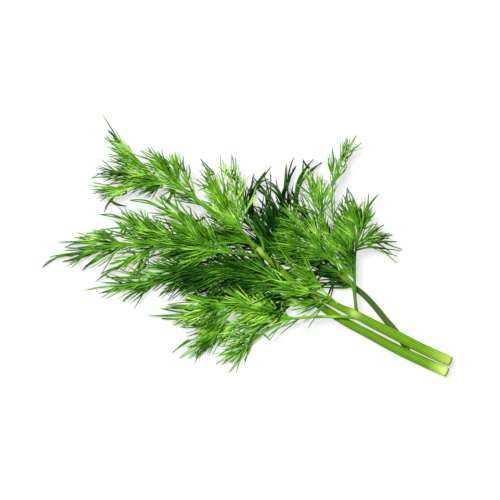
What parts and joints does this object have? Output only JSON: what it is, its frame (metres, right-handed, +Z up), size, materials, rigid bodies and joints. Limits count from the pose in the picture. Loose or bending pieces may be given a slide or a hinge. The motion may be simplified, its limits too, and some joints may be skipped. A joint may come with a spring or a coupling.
{
  "type": "dill bunch",
  "caption": "Small bunch of fresh cut dill lying flat: slim green stems side by side with feathery, thread-like leaves fanned out from them.",
  "frame": {"origin": "on the table, under the middle of the whole bunch's box", "axes": "+Z up from the table, +X towards the cut ends, which also point a little to -Y; the leaves spread to -X"},
  "size_m": [0.1674, 0.1062, 0.0195],
  "materials": {
    "stem_green": "waxy yellow-green stem with fine pale ribs",
    "dark_stem_green": "waxy dark olive stem",
    "bright_leaf_green": "bright yellow-green soft needles",
    "leaf_green": "fresh green soft needles",
    "dark_leaf_green": "deep shaded green soft needles"
  },
  "bodies": {
    "root": {"stem_upper": "stem_green", "stem_lower": "stem_green", "stem_side": "dark_stem_green", "leaf_top_left": "leaf_green", "leaf_top_plume": "bright_leaf_green", "leaf_top_slim": "leaf_green", "leaf_left": "leaf_green", "leaf_low_left": "dark_leaf_green", "leaf_bottom": "bright_leaf_green", "leaf_right": "leaf_green", "leaf_top_right": "leaf_green", "leaf_dark_top": "dark_leaf_green", "leaf_centre_right": "leaf_green", "leaf_inner": "leaf_green", "leaf_inner_low": "dark_leaf_green"}
  },
  "joints": []
}
